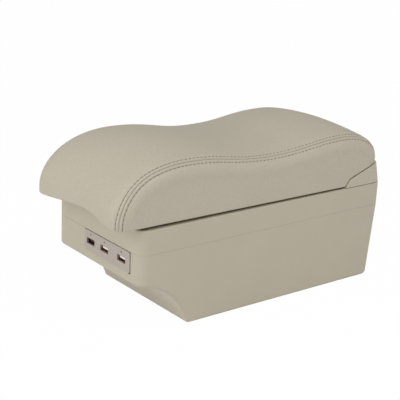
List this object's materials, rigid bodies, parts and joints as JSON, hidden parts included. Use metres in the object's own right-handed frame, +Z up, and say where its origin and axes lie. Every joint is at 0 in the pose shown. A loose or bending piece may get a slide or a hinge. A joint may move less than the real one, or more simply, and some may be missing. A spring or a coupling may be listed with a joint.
{
  "type": "car centre armrest",
  "caption": "Car centre armrest box with a wave-topped stitched leatherette lid hinged at the rear, a storage bin, an undercut front and a USB charging panel.",
  "frame": {"origin": "bottom centre of the bounding box, on the underside of the keel", "axes": "+X to the right seen from the front, front with the USB panel faces -Y, +Z up"},
  "size_m": [0.148, 0.342, 0.1727],
  "materials": {
    "box_plastic": "fine moulded grain, satin",
    "panel_plastic": "smooth satin",
    "leatherette": "soft grained leatherette",
    "foam": "soft open foam",
    "steel": "plain bright",
    "dark_plastic": "matt moulded",
    "white_plastic": "plain moulded",
    "black_rubber": "matt",
    "board_green": "solder-masked board",
    "lens": "smoked clear"
  },
  "bodies": {
    "base": {"lower_box": "box_plastic", "upper_frame": "box_plastic", "frame_screws": "steel", "hinge_block": "box_plastic", "hinge_block_screws": "steel", "hinge_pin": "steel", "usb_plate": "panel_plastic", "usb_shell_left": "steel", "usb_shell_middle": "steel", "usb_shell_right": "steel", "usb_tongue_left": "dark_plastic", "usb_tongue_middle": "white_plastic", "usb_tongue_right": "white_plastic", "usb_board": "board_green", "board_screws": "steel", "board_parts": "dark_plastic", "power_socket": "white_plastic", "indicator_lenses": "lens", "usb_cover": "box_plastic", "usb_cover_screws": "steel", "cable_bush": "black_rubber", "floor_mat": "black_rubber", "lid_buffers": "black_rubber"},
    "lid": {"lid_skeleton": "dark_plastic", "foam_pad": "foam", "top_cover": "leatherette", "side_cover_left": "leatherette", "side_cover_right": "leatherette", "lid_liner": "box_plastic", "lid_liner_screws": "steel", "hinge_leaf": "steel", "hinge_leaf_screws": "steel"}
  },
  "joints": [
    {"name": "lid_hinge", "type": "hinge", "parent": "base", "child": "lid", "pos_m": [0, 0.166, 0.1287], "axis": [-1, 0, 0], "range_deg": [0, 100]}
  ]
}
